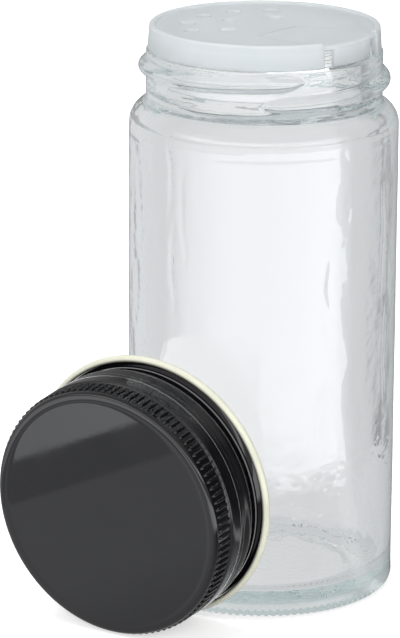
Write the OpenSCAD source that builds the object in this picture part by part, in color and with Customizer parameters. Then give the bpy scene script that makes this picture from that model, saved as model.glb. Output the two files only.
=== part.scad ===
// Round glass spice jar with a threaded neck, a push-fit sifter insert with a pour flap,
// and a rolled metal screw cap that stands on its side beside the jar.
// The jar's axis is Z and its foot stands on the plane z = 0. Sizes are in millimetres.

/* [Glass body] */
// Outer diameter of the glass body
body_d = 50.7; // [48:0.1:60]
// Height of the glass from its foot to its rim
glass_h = 107.45; // [70:0.05:160]
// Thickness of the side wall
wall = 2.4; // [1.8:0.1:3]
// Thickness of the floor
floor_t = 4.6; // [3:0.1:8]
// Radius of the rounded heel
heel_r = 2.5; // [1.5:0.1:3.5]
// Radius of the rounded shoulder
shoulder_r = 4.5; // [3.5:0.1:5.5]
// Radius of the corner between the wall and the floor inside
floor_r = 3; // [1.5:0.1:5]
// Depth of the hollow under the foot
foot_hollow = 1.2; // [0.6:0.1:2]
// Width of the flat ring that the jar stands on
foot_w = 4; // [2:0.1:6]

/* [Neck finish] */
// Diameter of the plain neck under the thread
neck_d = 44.3; // [43.8:0.1:45.2]
// Thickness of the glass at the lip
lip_t = 2; // [1.5:0.1:3]
// Height of the lip that the insert wraps
lip_h = 3.3; // [2.5:0.05:4]
// How far the lip stands in from the neck
lip_in = 1.65; // [1.5:0.05:1.9]
// Radius of the fire-polished rim
rim_r = 0.8; // [0.3:0.05:0.9]
// Height of the plain neck between the thread and the shoulder
neck_foot = 1.3; // [1:0.05:4]
// Radius of the groove where the neck meets the shoulder
root_r = 1.2; // [1:0.1:1.6]
// Depth of that groove
root_in = 0.9; // [0.4:0.05:1]

/* [Thread] */
// How far the thread stands out from the neck
thread_out = 1.45; // [1.1:0.05:1.7]
// Rise of the thread in one turn
pitch = 4.2; // [3.6:0.05:4.6]
// Height of the thread's bead where it leaves the neck
bead_h = 3.7; // [2.5:0.1:4]
// Angle of the thread's upper end round the neck
thread_end = 291; // [0:1:360]
// Angle that the thread covers
thread_sweep = 383; // [300:1:400]
// Angle over which each end of the thread fades into the neck
fade = 26; // [10:1:45]

/* [Sifter insert] */
// Thickness of the insert's disc
disc_t = 0.9; // [0.7:0.05:1.5]
// Height of the rounded rim above the disc
rim_up = 0.6; // [0.4:0.05:0.8]
// Thickness of the skirt
skirt_t = 1; // [0.8:0.05:1.1]
// How much wider the skirt is at its bottom than at its rim
draft = 0.6; // [0.2:0.1:0.8]
// Diameter of each sifter hole
hole_d = 3; // [1.5:0.1:4]
// Web between the outer row of holes and the sealing ring
ring_web = 1.65; // [0.8:0.05:3]
// Distance between the two rows of holes
row_step = 6.35; // [5:0.05:7]
// Angle between the holes of the outer row
outer_step = 28.7; // [22:0.1:32]
// Angle between the holes of the inner row
inner_step = 66; // [50:1:76]
// Middle of both rows of holes, as an angle round the jar
holes_at = 143; // [130:1:156]
// Height of the sealing ring inside the mouth
plug_h = 3; // [1.5:0.1:4]
// Thickness of the sealing ring
plug_t = 0.9; // [0.6:0.05:1.2]

/* [Pour flap] */
// Direction in which the flap points, as an angle round the jar
flap_at = -38; // [-50:1:-26]
// Distance of the hinge line from the jar's axis
hinge_out = 4.5; // [3:0.1:7]
// Width of the flap's opening at the rim
flap_w = 16.2; // [13:0.1:18]
// Reach of the hinge line past the flap's middle, on the far side
hinge_far = 3.4; // [2:0.1:4]
// Distance from the hinge line to the elbow in the far side
elbow = 5.9; // [4:0.1:8]
// How far the elbow stands in from the full width
elbow_in = 1.7; // [0.5:0.1:2]
// How far the hanging apron stands in from each side of the flap
apron_in = 2.7; // [1:0.1:4]
// Thickness of the apron
apron_t = 0.65; // [0.5:0.05:0.8]

/* [Screw cap] */
// Thickness of the metal
sheet = 0.28; // [0.2:0.01:0.4]
// Room between the glass thread and the rolled thread's crest
thread_room = 0.52; // [0.4:0.02:0.8]
// Depth of the rolled thread
roll = 1; // [0.6:0.05:1.1]
// How far the rolled thread's crest stands out past the smooth band
crest_out = 0.1; // [0:0.05:0.3]
// Height of the sloping wall between the rolled thread and the smooth band
band_rise = 0.6; // [0.4:0.05:1]
// Width of the smooth band
band_w = 4; // [3:0.1:6]
// Width of the knurled band
knurl_w = 4.1; // [3:0.1:6]
// Number of knurls
knurls = 110; // [90:1:130]
// Depth of each knurl
knurl_d = 0.45; // [0.3:0.05:0.5]
// How far the wall behind the knurls stands in from the smooth band
knurl_in = 0.5; // [0.5:0.05:0.8]
// Radius of the flat end's edge
edge_r = 0.8; // [0.5:0.05:1.2]
// Radius of the curl at the open end
curl_r = 0.85; // [0.6:0.05:1]
// How far the curl stands out past the smooth band
curl_out = 1.3; // [1:0.05:1.6]
// Height of the flared wall above the curl
curl_rise = 1.95; // [1.5:0.05:3]
// Thickness of the sealing liner
liner_t = 0.9; // [0.5:0.05:1.5]

/* [Cap beside the jar] */
// Direction in which the cap's flat end faces
cap_turn = -120.7; // [-150:0.1:-90]
// Gap between the jar and the cap's open end, at the floor
cap_gap = 1.1; // [0.6:0.1:15]
// How far the cap stands to one side of the line from the jar's axis
cap_aside = 6.1; // [0:0.1:12]

/* [Clearances] */
// Radial clearance of the insert on the lip
skirt_fit = 0.08; // [0.02:0.01:0.1]
// Radial clearance of the sealing ring in the mouth
plug_fit = 0.1; // [0.05:0.01:0.3]
// Gap between the disc and the rim of the glass
seat_gap = 0.05; // [0.02:0.01:0.2]
// Gap between the skirt's bottom and the neck
skirt_gap = 0.15; // [0.1:0.05:0.3]
// Gap all round the flap
flap_gap = 0.3; // [0.25:0.05:0.5]

/* [Hidden] */
$fn = 96;
eps = 0.01;

// Glass
body_r = body_d / 2;
bore_r = body_r - wall;
neck_r = neck_d / 2;
thread_r = neck_r + thread_out;
lip_r = neck_r - lip_in;
mouth_r = lip_r - lip_t;
lip_z = glass_h - lip_h;
thread_drop = lip_h + bead_h / 2;
neck_h = thread_drop + thread_sweep / 360 * pitch + bead_h / 2 + neck_foot;
shoulder_z = glass_h - neck_h;
foot_r = body_r - heel_r - foot_w;

// The inside of the shoulder is one quarter round, from the bore to the mouth
inner_shoulder_r = bore_r - mouth_r - eps;
inner_shoulder_z = shoulder_z - shoulder_r - inner_shoulder_r;

// The groove at the foot of the neck runs into the round of the shoulder
root_bite = 0.02;
root_x = neck_r + root_r - root_in;
root_over = max(0, root_x - (body_r - shoulder_r));
root_reach = shoulder_r + root_r - root_bite;
root_z = shoulder_z - shoulder_r + sqrt(root_reach * root_reach - root_over * root_over);

// Thread: how deep its bead is rooted, and how rounded it is
sides = 9;
steps = 52;
bead_root = neck_r - 0.5;
bead_core = neck_r - 0.9;
bead_round = 0.7;
// The ends keep this many degrees of the fade, so that they aren't sharp
blunt = 1.5;

// Insert, from the rim of the glass up
disc_z = glass_h + seat_gap;
disc_top = disc_z + disc_t;
skirt_z = lip_z + skirt_gap;
skirt_in = lip_r + skirt_fit;
insert_r = skirt_in + skirt_t;
plug_r = mouth_r - plug_fit;
outer_row = plug_r - plug_t - ring_web - hole_d / 2;
inner_row = outer_row - row_step;

// Flap: the side lines straighten out near the rim, and cuts run past the insert
side_in = 2;
past = 5;
above = disc_top + past;
below = disc_z - plug_h - past;
tall = above - below;

// Cap, measured along its own axis from the open end
crest_r = thread_r + thread_room + sheet;
valley_r = crest_r - roll;
band_r = crest_r - crest_out;
face_r = band_r - knurl_in;
knurl_r = face_r + knurl_d;
curl_mid = band_r + curl_out - curl_r;
flare_r = curl_mid - curl_r + sheet / 2;
flare = 1.4;
groove_z = curl_r + curl_rise;
valley_z = groove_z + pitch;
band_z = valley_z + band_rise;
knurl_z = band_z + band_w;
knurl_top = knurl_z + knurl_w;
cap_h = knurl_top + 0.1 + edge_r;
valley_skin = 0.04;
curl_open = curl_r / 2;
wall_foot = curl_r * 0.8;
liner_r = face_r - sheet - edge_r;

// The cap stands on its curl and on the knurls next to its flat end
run = knurl_top - curl_r;
drop = curl_mid - knurl_r;
tip = asin(curl_r / sqrt(run * run + drop * drop)) + atan(drop / run);
cap_z = curl_mid * cos(tip) + curl_r;
cap_out = body_r + cap_gap + curl_mid * sin(tip) + curl_r;

// A quarter-round corner, drawn in the profile plane and cut out of a square block
module inner_corner(r, at, flip_x = 1, flip_z = 1) {
    translate(at) mirror([flip_x < 0 ? 1 : 0, 0]) mirror([0, flip_z < 0 ? 1 : 0])
        difference() {
            square(r + eps);
            circle(r);
        }
}

module outer_profile() {
    difference() {
        union() {
            difference() {
                square([body_r, shoulder_z]);
                inner_corner(heel_r, [body_r - heel_r, heel_r], 1, -1);
                inner_corner(shoulder_r, [body_r - shoulder_r, shoulder_z - shoulder_r]);
            }
            square([neck_r, lip_z]);
            square([lip_r, glass_h]);
        }
        inner_corner(rim_r, [lip_r - rim_r, glass_h - rim_r]);
        translate([root_x, root_z]) circle(root_r);
        // The hollow under the foot
        translate([-eps, -eps]) square([foot_r + eps, foot_hollow + eps]);
    }
}

module hollow_profile() {
    difference() {
        union() {
            translate([0, floor_t]) square([bore_r, inner_shoulder_z - floor_t]);
            translate([0, floor_t]) square([mouth_r, glass_h]);
            translate([mouth_r, inner_shoulder_z]) intersection() {
                circle(inner_shoulder_r);
                square(inner_shoulder_r);
            }
        }
        inner_corner(floor_r, [bore_r - floor_r, floor_t + floor_r], 1, -1);
    }
}

// The thread is one bead swept up a right-hand helix, and both ends fade into the neck
function along(i) = thread_sweep * i / steps;
function to_end(i) = min(along(i), thread_sweep - along(i)) + blunt;
function fade_at(i) = sin(90 * min(1, to_end(i) / fade));
function bead_mid(i) = glass_h - thread_drop - (thread_sweep - along(i)) / 360 * pitch;
function bead_out(i, j) = bead_root
    + (thread_r - bead_root) * fade_at(i) * pow(sin(180 * j / sides), bead_round);
function bead_up(i, j) = -bead_h / 2 * fade_at(i) * cos(180 * j / sides);
function turned(r, a, z) = [r * cos(a), r * sin(a), z];
function bead_ring(i) = let (a = thread_end - thread_sweep + along(i))
    concat([for (j = [0:sides]) turned(bead_out(i, j), a, bead_mid(i) + bead_up(i, j))],
           [turned(bead_core, a, bead_mid(i))]);

module thread() {
    n = sides + 2;
    points = [for (i = [0:steps]) each bead_ring(i)];
    skin = [for (i = [0:steps - 1], j = [0:n - 1], half = [0, 1])
        let (a = i * n + j, b = i * n + (j + 1) % n)
        half == 0 ? [a, b, b + n] : [a, b + n, a + n]];
    ends = concat([[for (j = [0:n - 1]) n - 1 - j]], [[for (j = [0:n - 1]) steps * n + j]]);
    polyhedron(points, concat(skin, ends));
}

module glass_jar() {
    color([0.80, 0.88, 0.87, 0.5]) difference() {
        union() {
            rotate_extrude() outer_profile();
            thread();
        }
        rotate_extrude() hollow_profile();
    }
}

// Turns its children so that X points along the flap, away from the hinge
module flap_frame() {
    rotate([0, 0, flap_at]) children();
}

// The flap's outline seen from above, drawn in by a gap on every side
module flap_plan(gap) {
    half = flap_w / 2;
    reach = insert_r + past;
    polygon([
        [hinge_out + gap, -half + gap],
        [hinge_out + gap, hinge_far - gap],
        [hinge_out + elbow, half - elbow_in - gap],
        [insert_r - side_in, half - gap],
        [reach, half - gap],
        [reach, -half + gap]
    ]);
}

module insert_profile() {
    // The disc and the skirt, in one outline
    polygon([
        [0, disc_z], [skirt_in, disc_z], [skirt_in, skirt_z], [insert_r + draft / 2, skirt_z],
        [insert_r, disc_top], [0, disc_top]
    ]);
    translate([insert_r - rim_up, disc_top]) circle(rim_up);
    translate([plug_r - plug_t, disc_z - plug_h]) square([plug_t, plug_h + disc_t / 2]);
}

module sifter_holes() {
    for (k = [-2:2]) rotate([0, 0, holes_at + k * outer_step])
        translate([outer_row, 0, below]) cylinder(h = tall, d = hole_d);
    for (k = [-1:1]) rotate([0, 0, holes_at + k * inner_step])
        translate([inner_row, 0, below]) cylinder(h = tall, d = hole_d);
}

module shaker_insert() {
    color([0.86, 0.88, 0.89]) difference() {
        rotate_extrude() insert_profile();
        sifter_holes();
        flap_frame() translate([0, 0, below]) linear_extrude(tall) flap_plan(0);
    }
}

module flap_panel_profile() {
    edge = disc_t / 2;
    out = skirt_in + apron_t;
    translate([0, disc_z]) square([out - edge, disc_t]);
    translate([out - edge, disc_z + edge]) circle(edge);
}

module apron_profile() {
    translate([skirt_in, skirt_z]) square([apron_t, disc_z + disc_t / 2 - skirt_z]);
}

module pour_flap() {
    apron_w = flap_w - 2 * apron_in;
    color([0.84, 0.86, 0.88]) union() {
        intersection() {
            rotate_extrude() flap_panel_profile();
            flap_frame() translate([0, 0, below]) linear_extrude(tall) flap_plan(flap_gap);
        }
        intersection() {
            rotate_extrude() apron_profile();
            flap_frame() translate([hinge_out, -apron_w / 2, below]) cube([insert_r + past, apron_w, tall]);
        }
    }
}

// Outer radius of the cap's wall at a height above its open end, up to the smooth band
function flared(s) = valley_r + (flare_r - valley_r) * pow((groove_z - s) / curl_rise, flare);
function rolled(s) = valley_r + roll / 2 * (1 - cos(360 * (s - valley_z) / pitch));
function sloped(s) = valley_r + (band_r - valley_r) * (s - valley_z) / band_rise;
function wall_r(s) = s < groove_z ? flared(s) : s < valley_z ? rolled(s) : sloped(s);

rungs = 22;
wall_heights = [for (k = [0:rungs]) wall_foot + (band_z - wall_foot) * k / rungs];

// The cap's outline: the sheet is the space between the outline and the same one drawn in
module cap_outline(inset) {
    difference() {
        polygon(concat(
            [[0, wall_foot]],
            [for (s = wall_heights) [wall_r(s) - inset, s]],
            [
                [band_r - inset, knurl_z - inset], [face_r - inset, knurl_z - inset],
                [face_r - inset, cap_h - inset], [0, cap_h - inset]
            ]
        ));
        inner_corner(edge_r - inset, [face_r - edge_r, cap_h - edge_r]);
    }
}

// The sheet's free edge rolls outwards and up, and stops short of the wall
module curl_profile() {
    difference() {
        translate([curl_mid, curl_r]) circle(curl_r);
        translate([curl_mid, curl_r]) circle(curl_r - sheet);
        translate([curl_mid - curl_r - eps, curl_r]) square([curl_open + eps, 2 * curl_r]);
    }
}

module knurl_ring() {
    turn = 360 / knurls;
    tooth_foot = face_r + valley_skin;
    teeth = [for (k = [0:knurls - 1]) each [
        [knurl_r * cos(k * turn), knurl_r * sin(k * turn)],
        [tooth_foot * cos((k + 0.5) * turn), tooth_foot * sin((k + 0.5) * turn)]
    ]];
    translate([0, 0, knurl_z - sheet / 2]) linear_extrude(knurl_top - knurl_z + sheet / 2) difference() {
        polygon(teeth);
        circle(face_r - sheet / 2);
    }
}

module cap_body() {
    rotate_extrude() {
        difference() {
            cap_outline(0);
            cap_outline(sheet);
        }
        curl_profile();
    }
    knurl_ring();
}

// Lays a piece of the cap, built upright, on its side beside the jar
module beside_jar() {
    rotate([0, 0, cap_turn]) translate([cap_out, -cap_aside, cap_z])
        rotate([0, 90 + tip, 0]) translate([0, 0, -curl_r]) children();
}

module cap_shell() {
    color([0.09, 0.09, 0.10]) beside_jar() cap_body();
}

module cap_liner() {
    color([0.90, 0.89, 0.84]) beside_jar()
        translate([0, 0, cap_h - sheet - liner_t]) cylinder(h = liner_t, r = liner_r);
}

glass_jar();
shaker_insert();
pour_flap();
cap_shell();
cap_liner();
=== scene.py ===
import math

import bpy
from mathutils import Matrix, Vector, noise


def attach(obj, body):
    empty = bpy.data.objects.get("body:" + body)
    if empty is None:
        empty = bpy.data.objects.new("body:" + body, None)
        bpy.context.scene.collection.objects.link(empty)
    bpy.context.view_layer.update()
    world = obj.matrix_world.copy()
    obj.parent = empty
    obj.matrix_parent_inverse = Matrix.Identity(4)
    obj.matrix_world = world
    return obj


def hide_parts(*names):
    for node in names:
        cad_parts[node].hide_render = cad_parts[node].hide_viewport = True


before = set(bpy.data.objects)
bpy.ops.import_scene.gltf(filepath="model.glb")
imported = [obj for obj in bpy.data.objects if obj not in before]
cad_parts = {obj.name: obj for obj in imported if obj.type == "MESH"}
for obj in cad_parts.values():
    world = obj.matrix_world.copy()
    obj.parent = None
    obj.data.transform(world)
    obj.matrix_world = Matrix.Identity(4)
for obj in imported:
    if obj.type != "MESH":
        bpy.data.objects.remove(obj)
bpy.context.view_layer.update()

MM = 0.001


# Colours and nodes

def linear(hex_colour):
    """An sRGB hex colour as linear red, green, blue and alpha."""
    parts = [int(hex_colour[i:i + 2], 16) / 255 for i in (1, 3, 5)]
    return [c / 12.92 if c <= 0.04045 else ((c + 0.055) / 1.055) ** 2.4 for c in parts] + [1.0]


def add(tree, kind, inputs=None, **settings):
    """Adds a node. An input's value is a plain value or the output socket that feeds it."""
    node = tree.nodes.new(kind)
    for name, value in settings.items():
        setattr(node, name, value)
    for key, value in (inputs or {}).items():
        if isinstance(value, bpy.types.NodeSocket):
            tree.links.new(value, node.inputs[key])
        else:
            node.inputs[key].default_value = value
    return node


def blank_material(name):
    material = bpy.data.materials.new(name)
    material.use_nodes = True
    material.node_tree.nodes.clear()
    return material, material.node_tree


def finish_material(tree, surface, volume=None):
    out = add(tree, "ShaderNodeOutputMaterial", {"Surface": surface})
    if volume:
        tree.links.new(volume, out.inputs["Volume"])


def calc(tree, operation, *values):
    return add(tree, "ShaderNodeMath", dict(enumerate(values)), operation=operation).outputs[0]


def step(tree, value, low, high, to_low=0.0, to_high=1.0):
    """A ramp between two values, held flat beyond them."""
    return add(tree, "ShaderNodeMapRange", {"Value": value, "From Min": low, "From Max": high,
                                            "To Min": to_low, "To Max": to_high}).outputs[0]


BOARD_BEHIND, OPEN_LEFT, DARK_RIGHT = 0.72, 0.76, 0.30
PANEL_LEFT, PANEL_MIDDLE, PANEL_RIGHT, PANEL_INNER = 1.9, 3.0, 3.6, 1.3
LONG_PATH, STRAIGHT_PATH = 1.12, 0.8


def unseen_in_jar(tree, surface, mouth_side=None):
    """The photo's jar mirrors no cap, so where the jar would mirror it, it gives the bright panel's light instead.
    Only rays with one reflection count, so the cap shows through the jar, and its own grooves mirror each other."""
    path = add(tree, "ShaderNodeLightPath")
    skip = calc(tree, "GREATER_THAN", path.outputs["Ray Length"], 6.0 * MM)
    if mouth_side:
        place = add(tree, "ShaderNodeTexCoord")
        axis, start = mouth_side
        along = add(tree, "ShaderNodeVectorMath", {0: place.outputs["Object"], 1: tuple(axis)}, operation="DOT_PRODUCT")
        skip = calc(tree, "MAXIMUM", skip, calc(tree, "LESS_THAN", along.outputs["Value"], start))
    mirrors = calc(tree, "SUBTRACT", path.outputs["Ray Depth"], path.outputs["Transmission Depth"])
    once = calc(tree, "COMPARE", mirrors, 1.0, 0.5)
    skip = calc(tree, "MULTIPLY", calc(tree, "MULTIPLY", skip, path.outputs["Is Glossy Ray"]), once)
    level = step(tree, path.outputs["Transmission Depth"], 2.4, 2.6, 2.5, PANEL_INNER)
    panel = add(tree, "ShaderNodeEmission", {"Color": (1, 1, 1, 1), "Strength": level})
    return add(tree, "ShaderNodeMixShader", {0: skip, 1: surface, 2: panel.outputs[0]}).outputs[0]


# Sizes, the same as the solids'

BODY_R, BORE_R, GLASS_H, FLOOR_T = 25.35, 22.95, 107.45, 4.6
NECK_R, LIP_R, MOUTH_R = 22.15, 20.5, 18.5
LIP_Z, SHOULDER_Z, SHOULDER_ARC = 104.15, 94.682, 4.5
THREAD_R, PITCH, BEAD_H, THREAD_DROP = 23.6, 4.2, 3.7, 5.15
THREAD_END, THREAD_SWEEP, FADE = 291.0, 383.0, 15.0
DISC_TOP = 108.4


# Glass jar

def arc(x, z, r, start, end, count):
    """Points on a circle about (x, z), from one angle to another in degrees, both ends kept."""
    turn = [math.radians(start + (end - start) * k / count) for k in range(count + 1)]
    return [(x + r * math.cos(a), z + r * math.sin(a)) for a in turn]


def line(a, b, count):
    """Points from a up to but not including b."""
    return [(a[0] + (b[0] - a[0]) * k / count, a[1] + (b[1] - a[1]) * k / count) for k in range(count)]


ROOT_R, ROOT_X = 1.2, 22.45
ROOT_Z = SHOULDER_Z - SHOULDER_ARC + math.sqrt((SHOULDER_ARC + ROOT_R) ** 2 - (ROOT_X - BODY_R + SHOULDER_ARC) ** 2)


def glass_profile():
    """The jar's section as (radius, height, zone), from the axis under the foot round to the axis above the floor."""
    hollow, heel, rim, corner = 1.2, 2.5, 0.8, 3.0
    join = math.degrees(math.atan2(ROOT_Z - SHOULDER_Z + SHOULDER_ARC, ROOT_X - BODY_R + SHOULDER_ARC))
    neck_meets = math.degrees(math.acos((NECK_R - ROOT_X) / ROOT_R))
    inner_r = BORE_R - MOUTH_R
    inner_z = SHOULDER_Z - SHOULDER_ARC - inner_r
    points = []

    def run(zone, pieces):
        points.extend((x, z, zone) for x, z in pieces)

    run("foot", line((0, hollow), (17.2, hollow), 8))
    run("foot", line((17.2, hollow), (18.6, 0.55), 3))
    run("ring", line((18.6, 0.55), (19.3, 0.12), 2))
    run("ring", line((19.3, 0.0), (22.85, 0.0), 7))
    run("heel", arc(BODY_R - heel - 0.005, heel, heel, -90, 0, 10))
    run("wall", line((BODY_R, heel + 2), (BODY_R, SHOULDER_Z - SHOULDER_ARC), 26))
    run("wall", arc(BODY_R - SHOULDER_ARC, SHOULDER_Z - SHOULDER_ARC, SHOULDER_ARC, 0, join, 14)[:-1])
    run("neck", arc(ROOT_X, ROOT_Z, ROOT_R, join + 180, 360 - neck_meets, 7)[:-1])
    run("neck", line((NECK_R, ROOT_Z + ROOT_R * math.sin(math.acos((NECK_R - ROOT_X) / ROOT_R))), (NECK_R, LIP_Z - 0.25), 38))
    run("lip", arc(NECK_R - 0.25, LIP_Z - 0.25, 0.25, 0, 90, 3))
    run("lip", line((LIP_R + 0.4, LIP_Z), (LIP_R, LIP_Z + 0.3), 2))
    run("lip", line((LIP_R, LIP_Z + 0.3), (LIP_R, GLASS_H - rim), 3))
    run("lip", arc(LIP_R - rim, GLASS_H - rim, rim, 0, 90, 5))
    run("lip", arc(MOUTH_R + 0.5, GLASS_H - 0.5, 0.5, 90, 180, 4))
    sweep = [k / 30 for k in range(31)]
    run("mouth", line((MOUTH_R, GLASS_H - 1.5), (MOUTH_R, 98.5), 18))
    run("inside", [(MOUTH_R + inner_r * (1 - math.cos(math.pi * t)) / 2, 98.5 - 8.7 * t) for t in sweep])
    run("inside", line((BORE_R, 89.55), (BORE_R, 87.3), 9))
    run("inside", line((BORE_R, 87.3), (BORE_R, FLOOR_T + corner), 56))
    run("inside", arc(BORE_R - corner, FLOOR_T + corner, corner, 0, -90, 8))
    run("floor", line((BORE_R - corner - 1, FLOOR_T), (0, FLOOR_T), 12))
    return points


def bead_height(angle, z):
    """Radius of the thread's bead at an angle and a height, or 0 where it has none."""
    root = NECK_R - 0.5
    best = 0.0
    first = (angle - (THREAD_END - THREAD_SWEEP)) % 360
    for along in (first, first + 360):
        if along > THREAD_SWEEP:
            continue
        fade = math.sin(math.radians(90 * min(1.0, (min(along, THREAD_SWEEP - along) + 1.5) / FADE)))
        middle = GLASS_H - THREAD_DROP - (THREAD_SWEEP - along) / 360 * PITCH
        u = (z - middle) / (BEAD_H / 2 * fade)
        if abs(u) < 1:
            best = max(best, root + (THREAD_R - root) * fade * (1 - u * u) ** 0.75)
    return best


def blend_up(a, b, width):
    """The larger of two radii, with the crease between them filled over a width."""
    h = max(width - abs(a - b), 0.0) / width
    return max(a, b) + h * h * width * 0.25


def ripple(angle, z, across, along, seed):
    """Smooth noise on a cylinder, with one scale across it and one along it."""
    a = math.radians(angle)
    return noise.noise(Vector((math.cos(a) * across, math.sin(a) * across, z * along + seed)))


def step_between(value, low, high):
    return min(1.0, max(0.0, (value - low) / (high - low)))


CORDS = ((-58.0, 64.0, 5.5, 0.26), (-59.5, 55.5, 1.8, 0.2), (-136.0, 84.0, 9.0, 0.22), (-134.0, 66.0, 9.0, 0.26),
         (-24.0, 70.0, 12.0, 0.24), (-20.0, 48.0, 10.0, 0.2), (-128.0, 76.0, 12.0, 0.12))


def cords(angle, z):
    """Fine upright wrinkles inside the wall, each with its angle, middle height, half length and height."""
    rise = 0.0
    for turn, middle, half, height in CORDS:
        along = (z - middle) / half
        if abs(along) < 1:
            bend = 1.1 * math.sin(3.1 * along + turn) + 0.35 * math.sin(9.0 * along)
            off = ((angle - turn - bend + 180) % 360 - 180) * math.radians(BORE_R) / 0.42
            rise += height * math.exp(-off * off) * (1 - along * along)
    return rise


def glass_point(x, z, zone, angle):
    """A point of the section, shaped by the thread, the stipple and the uneven wall of moulded glass."""
    if zone == "neck":
        x = blend_up(x, bead_height(angle, z), 0.35)
        x = min(x + 0.02 * ripple(angle, z, 6.0, 0.3, 5.0) + 0.03 * ripple(angle, z, 1.6, 1.6, 15.0), THREAD_R)
    elif zone == "inside":
        depth = min(1.0, max(0.0, (z - 8.5) / 12.0))
        wave = 0.09 * ripple(angle, z, 3.2, 0.05, 0.0) + 0.06 * ripple(angle, z, 8.5, 0.13, 9.0)
        streak = step_between(z, 84.0, 89.0) * 0.13 * ripple(angle, z, 1.1, 0.9, 11.0)
        settle = 0.24 * math.exp(-((z - 90.2) / 0.4) ** 2)
        x -= (0.2 + wave + cords(angle, z)) * depth + streak + settle
    elif zone == "mouth":
        x -= 0.05 + 0.05 * ripple(angle, z, 5.0, 0.2, 3.0) + 0.08 * ripple(angle, z, 1.2, 1.1, 13.0)
    elif zone == "wall":
        calm = 1 - step_between(z, SHOULDER_Z - SHOULDER_ARC - 6.0, SHOULDER_Z - SHOULDER_ARC)
        x -= 0.05 + calm * (0.04 * ripple(angle, z, 5.0, 0.07, 2.0) + 0.03 * ripple(angle, z, 13.0, 0.1, 4.0))
    elif zone == "floor":
        z += 0.04 * ripple(angle, x * 2.0, 1.2 * x / 10, 0.05, 7.0)
    return x, z


STIPPLE_COUNT = 110
GLASS_SIDES = STIPPLE_COUNT * 3


def spin_mesh(name, rings, sides, poles):
    """A closed mesh from rings of points. Each ring is a list of points, and each end closes on a pole."""
    verts = [poles[0]] + [p for ring in rings for p in ring] + [poles[1]]
    last = len(verts) - 1
    faces = [(0, 1 + (k + 1) % sides, 1 + k) for k in range(sides)]
    for i in range(len(rings) - 1):
        a, b = 1 + i * sides, 1 + (i + 1) * sides
        for k in range(sides):
            n = (k + 1) % sides
            faces.append((a + k, a + n, b + n, b + k))
    a = 1 + (len(rings) - 1) * sides
    faces += [(a + k, a + (k + 1) % sides, last) for k in range(sides)]
    mesh = bpy.data.meshes.new(name)
    mesh.from_pydata([tuple(c * MM for c in v) for v in verts], [], faces)
    mesh.validate()
    mesh.update()
    mesh.shade_smooth()
    thing = bpy.data.objects.new(name, mesh)
    bpy.context.scene.collection.objects.link(thing)
    return thing


def build_glass():
    rings = []
    section = glass_profile()
    for x, z, zone in section[1:]:
        ring = []
        for k in range(GLASS_SIDES):
            angle = 360 * k / GLASS_SIDES
            px, pz = glass_point(x, z, zone, angle)
            a = math.radians(angle)
            ring.append((px * math.cos(a), px * math.sin(a), pz))
        rings.append(ring)
    return spin_mesh("glass_body", rings, GLASS_SIDES, [(0, 0, section[0][1]), (0, 0, FLOOR_T)])


def stipple_tree():
    """Geometry Nodes that press a row of rounded bumps into the ring that the jar stands on."""
    tree = bpy.data.node_groups.new("bearing ring stipple", "GeometryNodeTree")
    face = tree.interface
    face.new_socket("Geometry", in_out="INPUT", socket_type="NodeSocketGeometry")
    for name, value in (("Bumps", STIPPLE_COUNT), ("Depth", 1.0 * MM), ("Inner radius", 22.4 * MM), ("Outer radius", 25.6 * MM)):
        face.new_socket(name, in_out="INPUT", socket_type="NodeSocketFloat").default_value = value
    face.new_socket("Glass", in_out="INPUT", socket_type="NodeSocketMaterial")
    face.new_socket("Geometry", in_out="OUTPUT", socket_type="NodeSocketGeometry")
    given = add(tree, "NodeGroupInput")
    place = add(tree, "GeometryNodeInputPosition")
    split = add(tree, "ShaderNodeSeparateXYZ", {0: place.outputs[0]})

    def calc(operation, *values):
        return add(tree, "ShaderNodeMath", dict(enumerate(values)), operation=operation).outputs[0]

    radius = calc("SQRT", calc("ADD", calc("MULTIPLY", split.outputs[0], split.outputs[0]),
                               calc("MULTIPLY", split.outputs[1], split.outputs[1])))
    turn = calc("ARCTAN2", split.outputs[1], split.outputs[0])
    wave = calc("ABSOLUTE", calc("SINE", calc("MULTIPLY", turn, calc("MULTIPLY", given.outputs["Bumps"], 0.5))))
    valley = calc("SUBTRACT", 1.0, calc("POWER", wave, 0.8))
    middle = calc("MULTIPLY", calc("ADD", given.outputs["Inner radius"], given.outputs["Outer radius"]), 0.5)
    half = calc("MULTIPLY", calc("SUBTRACT", given.outputs["Outer radius"], given.outputs["Inner radius"]), 0.5)
    across = calc("DIVIDE", calc("SUBTRACT", radius, middle), half)
    inside = calc("MAXIMUM", calc("SUBTRACT", 1.0, calc("POWER", calc("ABSOLUTE", across), 6.0)), 0.0)
    fall = calc("MAXIMUM", calc("SUBTRACT", 1.0, calc("DIVIDE", split.outputs[2], 3.0 * MM)), 0.0)
    lift = calc("MULTIPLY", calc("MULTIPLY", valley, given.outputs["Depth"]), calc("MULTIPLY", inside, fall))
    offset = add(tree, "ShaderNodeCombineXYZ", {2: lift})
    moved = add(tree, "GeometryNodeSetPosition", {"Geometry": given.outputs["Geometry"], "Offset": offset.outputs[0]})
    whole = add(tree, "GeometryNodeRealizeInstances", {0: moved.outputs[0]})
    coated = add(tree, "GeometryNodeSetMaterial", {"Geometry": whole.outputs[0], "Material": given.outputs["Glass"]})
    add(tree, "NodeGroupOutput", {0: coated.outputs[0]})
    return tree


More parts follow.
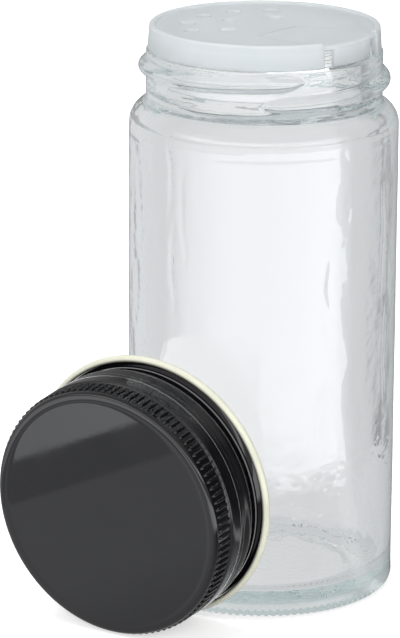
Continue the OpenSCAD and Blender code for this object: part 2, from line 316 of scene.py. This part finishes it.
def apply_nodes(thing, tree, values):
    """Runs a Geometry Nodes tree on a piece and keeps the result as its plain mesh."""
    modifier = thing.modifiers.new("nodes", "NODES")
    modifier.node_group = tree
    sockets = {s.name: s.identifier for s in tree.interface.items_tree if getattr(s, "in_out", "") == "INPUT"}
    for name, value in values.items():
        modifier[sockets[name]] = value
    bpy.context.view_layer.update()
    seen = thing.evaluated_get(bpy.context.evaluated_depsgraph_get())
    mesh = bpy.data.meshes.new_from_object(seen)
    thing.modifiers.remove(modifier)
    old = thing.data
    thing.data = mesh
    mesh.name = thing.name
    bpy.data.meshes.remove(old)
    return thing


# Cap sizes and place

SHEET, CURL_R, CURL_MID = 0.28, 0.76, 24.84
VALLEY_R, ROLL, BAND_R, FACE_R, EDGE_R = 23.4, 1.0, 24.3, 23.8, 0.8
GROOVE_S, VALLEY_S, BAND_S, KNURL_S, KNURL_TOP, CAP_H = 2.8, 7.0, 7.6, 11.6, 15.7, 16.6
KNURLS = 110
ROLL_UP, ROLL_IN = 0.78, 0.3
TIP, CAP_TURN, CAP_ASIDE = math.radians(5.208), math.radians(-120.7), 6.1
CAP_HEIGHT, CAP_OUT, CAP_PIVOT = 25.498, 29.547, 0.85


def cap_place(x, angle, s):
    """A point of the upright cap, laid on its side beside the jar."""
    across, up = x * math.cos(angle), x * math.sin(angle)
    point = Matrix.Rotation(math.pi / 2 + TIP, 4, "Y") @ Vector((across, up, s - CAP_PIVOT))
    point = Matrix.Rotation(CAP_TURN, 4, "Z") @ (point + Vector((CAP_OUT, -CAP_ASIDE, CAP_HEIGHT)))
    return tuple(point)


CAP_AXIS = Vector(cap_place(0, 0, 1)) - Vector(cap_place(0, 0, 0))
CURL_JAR_SIDE = (CAP_AXIS, CAP_AXIS.dot(Vector(cap_place(0, 0, CURL_R))) * MM)


# Materials

def soda_lime_glass():
    """Flint soda-lime glass, pressed and blown: clear, with a faint aqua tint where it is thick."""
    material, tree = blank_material("soda_lime_glass")
    place = add(tree, "ShaderNodeTexCoord")
    slow = add(tree, "ShaderNodeTexNoise", {"Vector": place.outputs["Object"], "Scale": 90.0, "Detail": 2.0})
    fine = add(tree, "ShaderNodeTexNoise", {"Vector": place.outputs["Object"], "Scale": 420.0, "Detail": 1.0})
    both = add(tree, "ShaderNodeMath", {0: slow.outputs["Fac"], 1: fine.outputs["Fac"]}, operation="ADD")
    bump = add(tree, "ShaderNodeBump", {"Strength": 0.22, "Distance": 0.25 * MM, "Height": both.outputs[0]})
    haze = add(tree, "ShaderNodeMapRange", {"Value": slow.outputs["Fac"], "From Min": 0.4, "From Max": 0.7,
                                            "To Min": 0.0, "To Max": 0.02})
    glass = add(tree, "ShaderNodeBsdfPrincipled", {
        "Base Color": (1, 1, 1, 1), "Roughness": haze.outputs[0], "IOR": 1.52, "Transmission Weight": 1.0,
        "Normal": bump.outputs[0]})
    path = add(tree, "ShaderNodeLightPath")
    inner = add(tree, "ShaderNodeMath", {0: path.outputs["Glossy Depth"], 1: 3.5}, operation="GREATER_THAN")
    long = add(tree, "ShaderNodeMath", {0: path.outputs["Ray Depth"], 1: 10.5}, operation="GREATER_THAN")
    spent = add(tree, "ShaderNodeMath", {0: inner.outputs[0], 1: long.outputs[0]}, operation="MAXIMUM")
    clear = add(tree, "ShaderNodeBsdfTransparent", {"Color": (1, 1, 1, 1)})
    surface = add(tree, "ShaderNodeMixShader", {0: spent.outputs[0], 1: glass.outputs[0], 2: clear.outputs[0]})
    tint = add(tree, "ShaderNodeVolumeAbsorption", {"Color": (0.50, 0.68, 0.69, 1), "Density": 15.0})
    finish_material(tree, surface.outputs[0], tint.outputs[0])
    return material


def natural_polypropylene():
    """Natural polypropylene, injection moulded: milky, satin, and slightly see-through in thin places."""
    material, tree = blank_material("natural_polypropylene")
    place = add(tree, "ShaderNodeTexCoord")
    cloud = add(tree, "ShaderNodeTexNoise", {"Vector": place.outputs["Object"], "Scale": 120.0, "Detail": 3.0})
    grain = add(tree, "ShaderNodeTexNoise", {"Vector": place.outputs["Object"], "Scale": 2600.0, "Detail": 2.0})
    shade = add(tree, "ShaderNodeMix", {"Factor": cloud.outputs["Fac"], "A": linear("#E4E9EC"), "B": linear("#ECF0F2")},
                data_type="RGBA")
    rough = add(tree, "ShaderNodeMapRange", {"Value": cloud.outputs["Fac"], "To Min": 0.38, "To Max": 0.52})
    height = add(tree, "ShaderNodeSeparateXYZ", {0: place.outputs["Object"]}).outputs[2]
    # Painted shade: above 107.7 mm, on the disc's top and the top of the skirt, the colour is darkened by 7 percent,
    # ramping in from 107.5 mm, so the top renders darker than the skirt below it. The band from 107.5 to 107.7 mm,
    # where the flap's outline gaps bottom out, is left lighter, as a painted light line.
    upper = step(tree, height, 107.30 * MM, 107.40 * MM)
    seam = calc(tree, "MULTIPLY", upper, step(tree, height, 107.5 * MM, 107.7 * MM, 1.0, 0.0))
    painted_top_shade = calc(tree, "SUBTRACT", calc(tree, "MULTIPLY", upper, 0.07), calc(tree, "MULTIPLY", seam, 0.07))
    shade = add(tree, "ShaderNodeMix", {"Factor": painted_top_shade, "A": shade.outputs["Result"], "B": (0.2, 0.21, 0.22, 1)},
                data_type="RGBA")
    edges = add(tree, "ShaderNodeBevel", {"Radius": 0.35 * MM}, samples=6)
    bump = add(tree, "ShaderNodeBump", {"Strength": 0.15, "Distance": 0.05 * MM, "Height": grain.outputs["Fac"],
                                        "Normal": edges.outputs[0]})
    plastic = add(tree, "ShaderNodeBsdfPrincipled", {
        "Base Color": shade.outputs["Result"], "Roughness": rough.outputs[0], "IOR": 1.49,
        "Transmission Weight": 0.3,
        "Subsurface Weight": 0.6, "Subsurface Radius": (1.0, 1.0, 1.0), "Subsurface Scale": 1.2 * MM,
        "Normal": bump.outputs[0]})
    glow = add(tree, "ShaderNodeBsdfTranslucent", {"Color": linear("#EEF0F1"), "Normal": edges.outputs[0]})
    milky = add(tree, "ShaderNodeMixShader", {0: 0.4, 1: plastic.outputs[0], 2: glow.outputs[0]})
    finish_material(tree, milky.outputs[0])
    return material


def lacquered_tinplate(name, hex_colour, rough_low, rough_high, comment_scale):
    """Roller-coated lacquer on tinplate: glossy, with a faint orange peel and small places of wear, and painted shade
    on the cream curl where it turns into the crevice.
    """
    material, tree = blank_material(name)
    place = add(tree, "ShaderNodeTexCoord")
    peel = add(tree, "ShaderNodeTexNoise", {"Vector": place.outputs["Object"], "Scale": comment_scale, "Detail": 2.0})
    wear = add(tree, "ShaderNodeTexNoise", {"Vector": place.outputs["Object"], "Scale": 160.0, "Detail": 5.0})
    bump = add(tree, "ShaderNodeBump", {"Strength": 0.06, "Distance": 0.03 * MM, "Height": peel.outputs["Fac"]})
    rough = add(tree, "ShaderNodeMapRange", {"Value": wear.outputs["Fac"], "From Min": 0.3, "From Max": 0.7,
                                             "To Min": rough_low, "To Max": rough_high})
    base = linear(hex_colour)
    pale = [min(1.0, c * 1.25 + 0.002) for c in base[:3]] + [1.0]
    shade = add(tree, "ShaderNodeMix", {"Factor": wear.outputs["Fac"], "A": base, "B": pale}, data_type="RGBA")
    # Painted shade: a per-point attribute from build_cap mixes the colour towards dark olive (#15150F) where the cream
    # curl turns in towards the black wall and the crevice.
    crevice_shade = add(tree, "ShaderNodeAttribute", attribute_name="painted_crevice_shade")
    shade = add(tree, "ShaderNodeMix", {"Factor": crevice_shade.outputs["Fac"], "A": shade.outputs["Result"],
                                        "B": linear("#15150F")}, data_type="RGBA")
    paint = add(tree, "ShaderNodeBsdfPrincipled", {
        "Base Color": shade.outputs["Result"], "Roughness": rough.outputs[0], "IOR": 1.5,
        "Normal": bump.outputs[0]})
    finish_material(tree, unseen_in_jar(tree, paint.outputs[0], CURL_JAR_SIDE))
    material.cycles.emission_sampling = "NONE"
    return material


def liner_board():
    """Pulp board faced with white film, die cut: smooth, faintly mottled."""
    material, tree = blank_material("liner_board")
    place = add(tree, "ShaderNodeTexCoord")
    fibre = add(tree, "ShaderNodeTexNoise", {"Vector": place.outputs["Object"], "Scale": 900.0, "Detail": 4.0})
    shade = add(tree, "ShaderNodeMix", {"Factor": fibre.outputs["Fac"], "A": linear("#DAD8CE"), "B": linear("#E8E6DD")},
                data_type="RGBA")
    bump = add(tree, "ShaderNodeBump", {"Strength": 0.2, "Distance": 0.04 * MM, "Height": fibre.outputs["Fac"]})
    board = add(tree, "ShaderNodeBsdfPrincipled", {"Base Color": shade.outputs["Result"], "Roughness": 0.55,
                                                   "Normal": bump.outputs[0]})
    finish_material(tree, unseen_in_jar(tree, board.outputs[0]))
    material.cycles.emission_sampling = "NONE"
    return material


glass_material = soda_lime_glass()
insert_material = natural_polypropylene()
black_material = lacquered_tinplate("black_lacquered_tinplate", "#060609", 0.03, 0.08, 1500.0)
cream_material = lacquered_tinplate("cream_lacquered_tinplate", "#C6C6B6", 0.12, 0.24, 1500.0)
liner_material = liner_board()

glass_body = build_glass()
glass_body.data.materials.append(glass_material)
apply_nodes(glass_body, stipple_tree(), {
    "Bumps": float(STIPPLE_COUNT), "Depth": 1.0 * MM, "Inner radius": 22.4 * MM, "Outer radius": 25.6 * MM,
    "Glass": glass_material})


# Screw cap

def wall_radius(s):
    """Outer radius of the cap's rolled wall at a height above its open end."""
    if s < 2.2:
        return VALLEY_R + (CURL_MID - CURL_R + SHEET - VALLEY_R) * ((2.2 - s) / (2.2 - CURL_R)) ** 2.6
    if s < 5.1:
        return VALLEY_R + ROLL_UP / 2 * (1 - math.cos(math.pi * (s - 2.2) / 2.9))
    if s < VALLEY_S:
        return VALLEY_R + ROLL_UP - ROLL_IN / 2 * (1 - math.cos(math.pi * (s - 5.1) / (VALLEY_S - 5.1)))
    t = min(1.0, (s - VALLEY_S) / (BAND_S - 0.2 - VALLEY_S))
    return VALLEY_R + ROLL_UP - ROLL_IN + (BAND_R - 0.1 - VALLEY_R - ROLL_UP + ROLL_IN) * t ** 1.6


def cap_section():
    """The sheet's section as (radius, height, side), from the axis outside round to the axis inside."""
    face = CAP_H - 0.12
    outer = [(0.001, face), (8, face), (16, face), (21.2, face), (21.75, face), (21.95, face + 0.02), (22.2, CAP_H - 0.03)]
    outer += [(22.35, CAP_H), (22.7, CAP_H)]
    outer += arc(FACE_R - EDGE_R, CAP_H - EDGE_R, EDGE_R, 90, 0, 8)
    outer += [(FACE_R, KNURL_TOP - 0.1), (FACE_R, 13.6), (FACE_R, KNURL_S + 0.35), (FACE_R + 0.06, KNURL_S + 0.1)]
    outer += arc(BAND_R - 0.18, KNURL_S - 0.18, 0.18, 90, 0, 4)
    outer += [(BAND_R, 10.4), (BAND_R, 9.0), (BAND_R, 8.75), (BAND_R - 0.03, 8.66), (BAND_R - 0.07, 8.6), (BAND_R - 0.07, 8.3)]
    outer += [(BAND_R - 0.06, BAND_S + 0.3), (BAND_R, BAND_S + 0.1), (BAND_R, BAND_S)]
    outer += arc(BAND_R - 0.1, BAND_S - 0.05, 0.1, 0, -55, 4)
    steps = 42
    outer += [(wall_radius(s), s) for s in (BAND_S - 0.22 + (CURL_R - BAND_S + 0.22) * k / steps for k in range(1, steps + 1))]
    inner = [(0.001, face - SHEET), (12, face - SHEET), (21.5, face - SHEET)]
    inner += arc(FACE_R - EDGE_R, CAP_H - EDGE_R, EDGE_R - SHEET, 90, 0, 6)
    inner += [(FACE_R - SHEET, 13.6), (FACE_R - SHEET, KNURL_S - 0.1), (BAND_R - SHEET, KNURL_S - 0.45)]
    inner += [(BAND_R - SHEET, 9.6), (BAND_R - SHEET, BAND_S)]
    inner += [(wall_radius(s) - SHEET, s) for s in (BAND_S + (CURL_R - BAND_S) * k / steps for k in range(1, steps + 1))]
    tube_in = arc(CURL_MID, CURL_R, CURL_R - SHEET, 180, 490, 22)[1:]
    tube_out = arc(CURL_MID, CURL_R, CURL_R, 490, 180, 34)[:-1]
    section = [(x, s, "black") for x, s in outer + tube_in]
    section += [(x, s, "cream") for x, s in tube_out + inner[::-1]]
    return section


CAP_SIDES = 288
WALL_END = 24.3


def build_cap():
    section = cap_section()
    rings = [[cap_place(x, 2 * math.pi * k / CAP_SIDES, s) for k in range(CAP_SIDES)] for x, s, _ in section[1:-1]]
    poles = [cap_place(0, 0, CAP_H - 0.12), cap_place(0, 0, CAP_H - 0.12 - SHEET)]
    shell = spin_mesh("cap_sheet", rings, CAP_SIDES, poles)
    shell.data.flip_normals()
    shell.data.materials.append(black_material)
    shell.data.materials.append(cream_material)
    sides = [0] * CAP_SIDES
    for i in range(1, len(section) - 2):
        sides += [0 if section[i + 1][2] == "black" else 1] * CAP_SIDES
    sides += [1] * CAP_SIDES
    shell.data.polygons.foreach_set("material_index", sides)
    # Painted shade: on the outer half of the cream curl, the paint darkens as the curl turns from 78 to 120 degrees in
    # towards the black wall, where the crevice is shaded.
    crevice_shade = [0.0]
    for x, s, side in section[1:-1]:
        turn = math.degrees(math.atan2(s - CURL_R, x - CURL_MID))
        crevice_darkening = max(0.0, min(1.0, (turn - 78.0) / 42.0)) if side == "cream" and s > CURL_R and x > WALL_END else 0.0
        crevice_shade += [crevice_darkening] * CAP_SIDES
    crevice_shade.append(0.0)
    shell.data.attributes.new("painted_crevice_shade", "FLOAT", "POINT").data.foreach_set("value", crevice_shade)
    return shell


def knurl_tree():
    """Geometry Nodes that set a ring of rounded knurls round the cap's wall."""
    tree = bpy.data.node_groups.new("knurled band", "GeometryNodeTree")
    face = tree.interface
    face.new_socket("Geometry", in_out="INPUT", socket_type="NodeSocketGeometry")
    face.new_socket("Count", in_out="INPUT", socket_type="NodeSocketInt").default_value = KNURLS
    for name in ("Wall radius", "Depth", "Width", "Length", "Middle height"):
        face.new_socket(name, in_out="INPUT", socket_type="NodeSocketFloat")
    face.new_socket("Lay", in_out="INPUT", socket_type="NodeSocketRotation")
    face.new_socket("Place", in_out="INPUT", socket_type="NodeSocketVector")
    face.new_socket("Lacquer", in_out="INPUT", socket_type="NodeSocketMaterial")
    face.new_socket("Geometry", in_out="OUTPUT", socket_type="NodeSocketGeometry")
    given = add(tree, "NodeGroupInput")
    half = add(tree, "ShaderNodeMath", {0: given.outputs["Length"], 1: 0.5}, operation="MULTIPLY").outputs[0]
    low = add(tree, "ShaderNodeMath", {0: half, 1: -1.0}, operation="MULTIPLY").outputs[0]
    start = add(tree, "ShaderNodeCombineXYZ", {2: low})
    end = add(tree, "ShaderNodeCombineXYZ", {2: half})
    spine = add(tree, "GeometryNodeCurvePrimitiveLine", {"Start": start.outputs[0], "End": end.outputs[0]})
    spine = add(tree, "GeometryNodeResampleCurve", {"Curve": spine.outputs[0], "Count": 15})
    along = add(tree, "GeometryNodeSplineParameter")
    taper = add(tree, "ShaderNodeFloatCurve", {"Value": along.outputs["Factor"]})
    curve = taper.mapping.curves[0]
    for x, y in ((0.03, 0.5), (0.08, 0.8), (0.16, 1.0), (0.84, 1.0), (0.92, 0.85), (0.97, 0.55)):
        curve.points.new(x, y)
    curve.points[0].location = (0, 0.15)
    curve.points[-1].location = (1, 0.3)
    taper.mapping.update()
    section = add(tree, "GeometryNodeCurvePrimitiveCircle", {"Resolution": 8, "Radius": 1.0})
    ratio = add(tree, "ShaderNodeCombineXYZ", {0: given.outputs["Depth"], 1: given.outputs["Width"], 2: 1.0})
    rod = add(tree, "GeometryNodeCurveToMesh", {
        "Curve": spine.outputs[0], "Profile Curve": section.outputs[0], "Scale": taper.outputs[0], "Fill Caps": True})
    rod = add(tree, "GeometryNodeTransform", {"Geometry": rod.outputs[0], "Scale": ratio.outputs[0]})
    ring = add(tree, "GeometryNodeMeshCircle", {"Vertices": given.outputs["Count"], "Radius": given.outputs["Wall radius"]})
    lift = add(tree, "ShaderNodeCombineXYZ", {2: given.outputs["Middle height"]})
    ring = add(tree, "GeometryNodeSetPosition", {"Geometry": ring.outputs[0], "Offset": lift.outputs[0]})
    where = add(tree, "GeometryNodeInputPosition")
    split = add(tree, "ShaderNodeSeparateXYZ", {0: where.outputs[0]})
    turn = add(tree, "ShaderNodeMath", {0: split.outputs[1], 1: split.outputs[0]}, operation="ARCTAN2")
    facing = add(tree, "ShaderNodeCombineXYZ", {2: turn.outputs[0]})
    facing = add(tree, "FunctionNodeEulerToRotation", {0: facing.outputs[0]})
    knurls = add(tree, "GeometryNodeInstanceOnPoints", {
        "Points": ring.outputs[0], "Instance": rod.outputs[0], "Rotation": facing.outputs[0]})
    solid = add(tree, "GeometryNodeRealizeInstances", {0: knurls.outputs[0]})
    solid = add(tree, "GeometryNodeTransform", {
        "Geometry": solid.outputs[0], "Translation": given.outputs["Place"], "Rotation": given.outputs["Lay"]})
    solid = add(tree, "GeometryNodeSetShadeSmooth", {"Geometry": solid.outputs[0]})
    solid = add(tree, "GeometryNodeSetMaterial", {"Geometry": solid.outputs[0], "Material": given.outputs["Lacquer"]})
    joined = add(tree, "GeometryNodeJoinGeometry")
    tree.links.new(solid.outputs[0], joined.inputs[0])
    tree.links.new(given.outputs["Geometry"], joined.inputs[0])
    add(tree, "NodeGroupOutput", {0: joined.outputs[0]})
    return tree


cap_sheet = build_cap()
lay = Matrix.Rotation(CAP_TURN, 4, "Z") @ Matrix.Rotation(math.pi / 2 + TIP, 4, "Y")
lay_angles = lay.to_euler()
cap_origin = Vector(cap_place(0, 0, 0)) * MM
apply_nodes(cap_sheet, knurl_tree(), {
    "Count": KNURLS, "Wall radius": (FACE_R - 0.05) * MM, "Depth": 0.5 * MM, "Width": 0.43 * MM,
    "Length": (KNURL_TOP - KNURL_S - 0.15) * MM, "Middle height": (KNURL_TOP + KNURL_S) / 2 * MM,
    "Lay": tuple(lay_angles), "Place": tuple(cap_origin), "Lacquer": black_material})

for piece, body, node, slot in ((glass_body, "jar", "glass_jar", "clear_glass"),
                                (cap_sheet, "cap", "cap_shell", "black_lacquer")):
    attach(piece, body)
    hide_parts(node)

for node, material in (("shaker_insert", insert_material), ("pour_flap", insert_material), ("cap_liner", liner_material)):
    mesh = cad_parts[node].data
    mesh.materials.clear()
    mesh.materials.append(material)


# Studio: the floor, the world, the lamps and the camera

def studio_round(tree, x, y, inner, outer):
    """Brightness of the studio by direction: a bright panel in front that grows to the right and ends there in a
    sharp edge, a grey board behind and a dark right side. Where inner is 1, for light that has crossed the jar,
    the panel is soft and even. Where outer is 1, for a first mirror on an outer surface, the right edge is softer
    and the right side and the back are nearly dark."""
    turn = calc(tree, "ARCTAN2", x, calc(tree, "MULTIPLY", y, -1.0))
    left = step(tree, turn, math.radians(-92), math.radians(-64))
    sharp = step(tree, turn, math.radians(75), math.radians(76.5), 1.0, 0.0)
    soft = step(tree, turn, math.radians(20), math.radians(110), 1.0, 0.0)
    right = add(tree, "ShaderNodeMix", {"Factor": inner, "A": sharp, "B": soft}, data_type="FLOAT").outputs[0]
    blurred = step(tree, turn, math.radians(60), math.radians(80), 1.0, 0.0)
    right = add(tree, "ShaderNodeMix", {"Factor": outer, "A": right, "B": blurred}, data_type="FLOAT").outputs[0]
    panel = calc(tree, "MULTIPLY", left, right)
    strength = calc(tree, "ADD", step(tree, turn, math.radians(-75), math.radians(-35), PANEL_LEFT, PANEL_MIDDLE),
                    step(tree, turn, 0.0, math.radians(55), 0.0, PANEL_RIGHT - PANEL_MIDDLE))
    strength = add(tree, "ShaderNodeMix", {"Factor": inner, "A": strength, "B": PANEL_INNER}, data_type="FLOAT").outputs[0]
    gloom = calc(tree, "MULTIPLY", calc(tree, "SUBTRACT", 1.0, right),
                 step(tree, turn, math.radians(120), math.radians(155), 1.0, 0.0))
    open_side = calc(tree, "MULTIPLY", calc(tree, "SUBTRACT", 1.0, left), step(tree, turn, -2.7, -2.2))
    level = add(tree, "ShaderNodeMix", {"Factor": panel, "A": BOARD_BEHIND, "B": strength}, data_type="FLOAT").outputs[0]
    level = calc(tree, "ADD", level, calc(tree, "MULTIPLY", open_side, OPEN_LEFT - BOARD_BEHIND))
    level = calc(tree, "SUBTRACT", level, calc(tree, "MULTIPLY", gloom, BOARD_BEHIND - DARK_RIGHT))
    shut = calc(tree, "MAXIMUM", step(tree, turn, math.radians(72), math.radians(100)),
                step(tree, turn, math.radians(-180), math.radians(-150), 1.0, 0.0))
    return calc(tree, "MULTIPLY", level, calc(tree, "SUBTRACT", 1.0, calc(tree, "MULTIPLY", shut, calc(
        tree, "MULTIPLY", outer, 0.8)))), panel


def glass_limit(tree, path):
    """The most that a ray through glass may see: no bright panel straight through the jar, so that its edges show
    from every side, and none after many turns inside the thick base."""
    turned = step(tree, path.outputs["Glossy Depth"], 1.4, 1.6, 9.0, LONG_PATH)
    mirrors = calc(tree, "SUBTRACT", path.outputs["Ray Depth"], path.outputs["Transmission Depth"])
    straight = calc(tree, "MULTIPLY", calc(tree, "LESS_THAN", mirrors, 0.5), path.outputs["Is Transmission Ray"])
    return calc(tree, "MINIMUM", turned, step(tree, straight, 0.4, 0.6, 9.0, STRAIGHT_PATH))


def studio_floor():
    """A pale board. The camera sees it white, with the object's soft shadow on it. Gloss and glass see the board
    near the object, a darker strip at its left edge, and the studio beyond it."""
    material, tree = blank_material("pale_studio_board")
    place = add(tree, "ShaderNodeTexCoord")
    split = add(tree, "ShaderNodeSeparateXYZ", {0: place.outputs["Object"]})
    path = add(tree, "ShaderNodeLightPath")
    x, y = split.outputs[0], split.outputs[1]
    crossed = calc(tree, "GREATER_THAN", path.outputs["Transmission Depth"], 2.5)
    outer = calc(tree, "LESS_THAN", path.outputs["Transmission Depth"], 0.5)
    level, panel = studio_round(tree, x, y, crossed, outer)
    away = add(tree, "ShaderNodeVectorMath", {0: place.outputs["Object"]}, operation="LENGTH").outputs["Value"]
    left = calc(tree, "MAXIMUM", step(tree, x, -105 * MM, -103 * MM, 1.0, 0.0), step(tree, y, -170 * MM, -145 * MM, 1.0, 0.0))
    strip = step(tree, x, -87 * MM, -86 * MM, 1.0, 0.0)
    round_end = step(tree, away, 95 * MM, 117 * MM)
    cap_side = step(tree, x, -60 * MM, -40 * MM, 1.0, 0.0)
    beyond = add(tree, "ShaderNodeMix", {"Factor": cap_side, "A": round_end, "B": left}, data_type="FLOAT").outputs[0]
    inside = calc(tree, "MULTIPLY", panel, calc(tree, "SUBTRACT", 1.0, beyond))
    near = calc(tree, "SUBTRACT", step(tree, x, -50 * MM, 30 * MM, 1.08, 0.3), calc(tree, "MULTIPLY", strip, 0.3))
    gloss = add(tree, "ShaderNodeMix", {"Factor": inside, "A": level, "B": near}, data_type="FLOAT").outputs[0]
    close = step(tree, away, 101 * MM, 107 * MM, 1.0, 0.0)
    # Painted shadow: seen through the glass, the board within 101 to 107 mm of the axis is a plain 0.72. It is 0.1
    # darker in a ring from about 17.5 to 30 mm, the jar's contact shadow under its bearing ring.
    ring = calc(tree, "MULTIPLY", step(tree, away, 17.5 * MM, 19 * MM), step(tree, away, 24 * MM, 30 * MM, 1.0, 0.0))
    under = calc(tree, "SUBTRACT", 0.72, calc(tree, "MULTIPLY", ring, 0.1))
    glass = add(tree, "ShaderNodeMix", {"Factor": close, "A": level, "B": under}, data_type="FLOAT").outputs[0]
    entered = calc(tree, "GREATER_THAN", path.outputs["Transmission Depth"], 0.5)
    seen = add(tree, "ShaderNodeMix", {"Factor": entered, "A": gloss, "B": glass}, data_type="FLOAT").outputs[0]
    seen = calc(tree, "MINIMUM", seen, glass_limit(tree, path))
    diffuse = add(tree, "ShaderNodeBsdfDiffuse", {"Color": linear("#ECECEC")})
    white = add(tree, "ShaderNodeEmission", {"Color": (1, 1, 1, 1), "Strength": 0.52})
    camera = add(tree, "ShaderNodeAddShader", {0: diffuse.outputs[0], 1: white.outputs[0]})
    mirrored = add(tree, "ShaderNodeEmission", {"Color": linear("#FCFDFF"), "Strength": seen})
    mix = add(tree, "ShaderNodeMixShader", {0: path.outputs["Is Camera Ray"], 1: diffuse.outputs[0], 2: camera.outputs[0]})
    bent = calc(tree, "MAXIMUM", path.outputs["Is Glossy Ray"], path.outputs["Is Transmission Ray"])
    mix = add(tree, "ShaderNodeMixShader", {0: bent, 1: mix.outputs[0], 2: mirrored.outputs[0]})
    finish_material(tree, mix.outputs[0])
    mesh = bpy.data.meshes.new("studio_floor")
    size = 2.5
    mesh.from_pydata([(-size, -size, 0), (size, -size, 0), (size, size, 0), (-size, size, 0)], [], [(0, 1, 2, 3)])
    floor = bpy.data.objects.new("studio_floor", mesh)
    mesh.materials.append(material)
    bpy.context.scene.collection.objects.link(floor)
    return floor


def studio_world():
    """White for the camera, even and soft for light on the object, and the studio's own shades in gloss and glass."""
    world = bpy.data.worlds.new("studio")
    bpy.context.scene.world = world
    world.use_nodes = True
    tree = world.node_tree
    tree.nodes.clear()
    path = add(tree, "ShaderNodeLightPath")
    place = add(tree, "ShaderNodeTexCoord")
    split = add(tree, "ShaderNodeSeparateXYZ", {0: place.outputs["Generated"]})
    crossed = calc(tree, "GREATER_THAN", path.outputs["Transmission Depth"], 2.5)
    outside = calc(tree, "LESS_THAN", path.outputs["Transmission Depth"], 0.5)
    level, panel = studio_round(tree, split.outputs[0], split.outputs[1], crossed, outside)
    low = calc(tree, "MINIMUM", level, 0.8)
    high = step(tree, split.outputs[2], 0.45, 0.8)
    bent = add(tree, "ShaderNodeMix", {"Factor": high, "A": low, "B": 0.66}, data_type="FLOAT").outputs[0]
    strip = calc(tree, "MULTIPLY", step(tree, split.outputs[2], 0.26, 0.32), step(tree, split.outputs[2], 0.44, 0.5, 1.0, 0.0))
    strip = calc(tree, "MULTIPLY", calc(tree, "MULTIPLY", strip, outside), panel)
    bent = calc(tree, "ADD", bent, calc(tree, "MULTIPLY", strip, 2.6))
    bent = calc(tree, "MINIMUM", bent, glass_limit(tree, path))
    either = calc(tree, "MAXIMUM", path.outputs["Is Glossy Ray"], path.outputs["Is Transmission Ray"])
    ambient = add(tree, "ShaderNodeMix", {"Factor": either, "A": 0.55, "B": bent}, data_type="FLOAT")
    total = add(tree, "ShaderNodeMix", {"Factor": path.outputs["Is Camera Ray"], "A": ambient.outputs[0], "B": 1.0},
                data_type="FLOAT")
    shade = add(tree, "ShaderNodeBackground", {"Color": (1, 1, 1, 1), "Strength": total.outputs[0]})
    add(tree, "ShaderNodeOutputWorld", {"Surface": shade.outputs[0]})


def softbox(name, at, towards, width, height, power, mirrored=True):
    lamp = bpy.data.lights.new(name, "AREA")
    lamp.shape = "RECTANGLE"
    lamp.size, lamp.size_y = width, height
    lamp.energy = power
    thing = bpy.data.objects.new(name, lamp)
    thing.location = at
    thing.rotation_euler = (Vector(towards) - Vector(at)).to_track_quat("-Z", "Y").to_euler()
    thing.visible_camera = False
    thing.visible_transmission = False
    thing.visible_glossy = mirrored
    bpy.context.scene.collection.objects.link(thing)


def photo_camera():
    """The camera that fits the photograph: 0.74 m in front and 0.26 m up, looking down by 16 degrees."""
    yaw, pitch, roll = -0.0159284, 0.2767477, 0.0057977
    level = Vector((math.sin(yaw), math.cos(yaw), 0))
    side = Vector((math.cos(yaw), -math.sin(yaw), 0))
    ahead = math.cos(pitch) * level - math.sin(pitch) * Vector((0, 0, 1))
    up = math.sin(pitch) * level + math.cos(pitch) * Vector((0, 0, 1))
    right = math.cos(roll) * side + math.sin(roll) * up
    top = -math.sin(roll) * side + math.cos(roll) * up
    lens = bpy.data.cameras.new("photo_camera")
    lens.sensor_fit = "VERTICAL"
    lens.sensor_height = 36.0
    lens.lens = 4036.37 * 36.0 / 638
    lens.clip_start, lens.clip_end = 0.05, 20
    thing = bpy.data.objects.new("photo_camera", lens)
    turn = Matrix((right, top, -ahead)).transposed().to_4x4()
    turn.translation = Vector((0, -0.7382309, 0.2611860))
    thing.matrix_world = turn
    bpy.context.scene.collection.objects.link(thing)
    bpy.context.scene.camera = thing


studio_floor()
studio_world()
softbox("overhead_softbox", (-0.15, 0.05, 0.9), (0, 0, 0.05), 0.9, 0.7, 5.9, mirrored=False)
softbox("front_softbox", (-0.05, -1.15, 0.45), (0, 0, 0.08), 0.5, 0.5, 8.8, mirrored=False)
softbox("left_softbox", (-0.8, -0.5, 0.55), (0, 0, 0.06), 0.35, 0.6, 0.4)
softbox("right_softbox", (0.7, -0.45, 0.5), (0, 0, 0.06), 0.12, 0.6, 0.3, mirrored=False)
photo_camera()
bpy.context.scene.view_settings.view_transform = "Standard"
